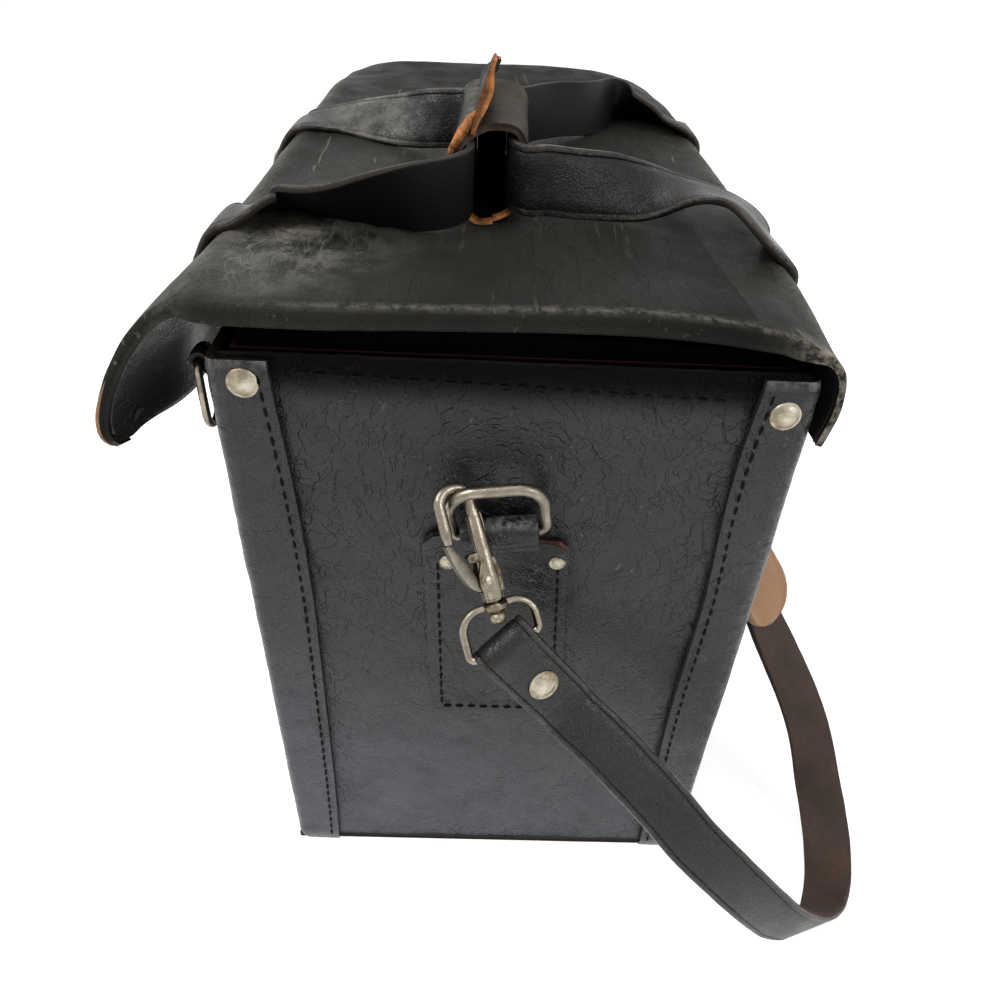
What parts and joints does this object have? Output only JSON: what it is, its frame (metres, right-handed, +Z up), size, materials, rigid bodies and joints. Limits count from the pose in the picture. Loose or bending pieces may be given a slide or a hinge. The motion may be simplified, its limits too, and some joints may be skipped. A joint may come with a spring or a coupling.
{
  "type": "train case",
  "caption": "Upright leather cosmetic case with a hinged lid, loose front flap, wrapped carrying straps and a padded shoulder strap on swivel snap hooks.",
  "frame": {"origin": "centre of the bottom face, on the floor", "axes": "+X along the case, -Y towards the closing flap, +Y towards the lid's hinge, +Z up"},
  "size_m": [0.4394, 0.2676, 0.286],
  "materials": {
    "case_leather": "worn, fine creased grain",
    "handle_leather": "black grain, tan cut edges",
    "strap_leather": "black pebbled grain, brown flesh side",
    "pad_leather": "tan, matt",
    "burgundy_lining": "matt",
    "card": "grey-brown board",
    "worn_nickel": "antique, worn to yellow at high points",
    "pale_brass": "pale, dulled"
  },
  "bodies": {
    "case": {"back_board": "card", "back_leather": "case_leather", "back_tail_rivets": "pale_brass", "back_tails": "handle_leather", "body_lining": "burgundy_lining", "bottom_board": "card", "bottom_leather": "case_leather", "chape_rivets": "pale_brass", "closure_chape_left": "case_leather", "closure_chape_right": "case_leather", "corner_rivets": "pale_brass", "dust_lip_left": "burgundy_lining", "dust_lip_right": "burgundy_lining", "end_board_left": "card", "end_board_right": "card", "end_leather_left": "case_leather", "end_leather_right": "case_leather", "end_tab_left": "case_leather", "end_tab_right": "case_leather", "front_board": "card", "front_leather": "case_leather", "hinge_strip": "case_leather", "shoulder_pad": "pad_leather", "shoulder_strap": "strap_leather", "tab_rivets": "pale_brass"},
    "lid": {"lid_leather": "case_leather", "lid_board": "card", "lid_lining": "burgundy_lining", "front_handle": "handle_leather", "back_handle": "handle_leather", "handle_wrap": "handle_leather"},
    "front_flap": {"front_flap": "case_leather", "flap_lining": "burgundy_lining", "front_tails": "handle_leather", "front_tail_rivets": "pale_brass"},
    "wrap_flap": {"wrap_flap": "handle_leather"},
    "closure_ring_right": {"closure_ring_right": "worn_nickel"},
    "d_ring_right": {"d_ring_right": "worn_nickel"},
    "snap_hook_right": {"snap_hook_right": "worn_nickel", "gate_pin_right": "worn_nickel"},
    "hook_gate_right": {"hook_gate_right": "worn_nickel"},
    "swivel_eye_right": {"swivel_eye_right": "worn_nickel", "strap_end_right": "strap_leather", "strap_rivet_right": "pale_brass"},
    "closure_ring_left": {"closure_ring_left": "worn_nickel"},
    "d_ring_left": {"d_ring_left": "worn_nickel"},
    "snap_hook_left": {"snap_hook_left": "worn_nickel", "gate_pin_left": "worn_nickel"},
    "hook_gate_left": {"hook_gate_left": "worn_nickel"},
    "swivel_eye_left": {"swivel_eye_left": "worn_nickel", "strap_end_left": "strap_leather", "strap_rivet_left": "pale_brass"}
  },
  "joints": [
    {"name": "lid_hinge", "type": "hinge", "parent": "case", "child": "lid", "pos_m": [0, 0.085, 0.233], "axis": [-1, 0, 0], "range_deg": [0, 110]},
    {"name": "flap_hinge", "type": "hinge", "parent": "lid", "child": "front_flap", "pos_m": [0, -0.0869, 0.239], "axis": [-1, 0, 0], "range_deg": [-6, 90]},
    {"name": "wrap_flap_fold", "type": "hinge", "parent": "lid", "child": "wrap_flap", "pos_m": [0.008, -0.01272, 0.27003], "axis": [1, 0, 0], "range_deg": [-60, 30]},
    {"name": "closure_swing_right", "type": "hinge", "parent": "case", "child": "closure_ring_right", "pos_m": [0.15, -0.0875, 0.221], "axis": [-1, 0, 0], "range_deg": [-8, 22]},
    {"name": "d_ring_swing_right", "type": "hinge", "parent": "case", "child": "d_ring_right", "pos_m": [0.1705, -0.002, 0.1775], "axis": [0, 0.9903, 0.1392], "range_deg": [-8, 8], "deforming": ["shoulder_strap"]},
    {"name": "hook_swing_right", "type": "hinge", "parent": "d_ring_right", "child": "snap_hook_right", "pos_m": [0.17382, -0.01576, 0.19132], "axis": [-0.147, -0.604, -0.7833], "range_deg": [0, 24], "deforming": ["shoulder_strap"]},
    {"name": "gate_spring_right", "type": "hinge", "parent": "snap_hook_right", "child": "hook_gate_right", "pos_m": [0.18267, -0.00595, 0.16962], "axis": [-0.7169, -0.4772, -0.5083], "range_deg": [0, 20], "stiffness_Nm_per_rad": 0.02, "springref_deg": -9.74},
    {"name": "eye_swivel_right", "type": "hinge", "parent": "snap_hook_right", "child": "swivel_eye_right", "pos_m": [0.18503, -0.00305, 0.16358], "axis": [-0.4306, -0.2704, 0.8611], "range_deg": [-40, 50], "deforming": ["shoulder_strap"]},
    {"name": "closure_swing_left", "type": "hinge", "parent": "case", "child": "closure_ring_left", "pos_m": [-0.15, -0.0875, 0.221], "axis": [-1, 0, 0], "range_deg": [-8, 22]},
    {"name": "d_ring_swing_left", "type": "hinge", "parent": "case", "child": "d_ring_left", "pos_m": [-0.1705, -0.002, 0.1775], "axis": [0, -0.9903, -0.1392], "range_deg": [-8, 8], "deforming": ["shoulder_strap"]},
    {"name": "hook_swing_left", "type": "hinge", "parent": "d_ring_left", "child": "snap_hook_left", "pos_m": [-0.17382, -0.01576, 0.19132], "axis": [-0.147, 0.604, 0.7833], "range_deg": [0, 24], "deforming": ["shoulder_strap"]},
    {"name": "gate_spring_left", "type": "hinge", "parent": "snap_hook_left", "child": "hook_gate_left", "pos_m": [-0.18267, -0.00595, 0.16962], "axis": [-0.7169, 0.4772, 0.5083], "range_deg": [0, 20], "stiffness_Nm_per_rad": 0.02, "springref_deg": -9.74},
    {"name": "eye_swivel_left", "type": "hinge", "parent": "snap_hook_left", "child": "swivel_eye_left", "pos_m": [-0.18503, -0.00305, 0.16358], "axis": [-0.4306, 0.2704, -0.8611], "range_deg": [-40, 50], "deforming": ["shoulder_strap"]}
  ]
}
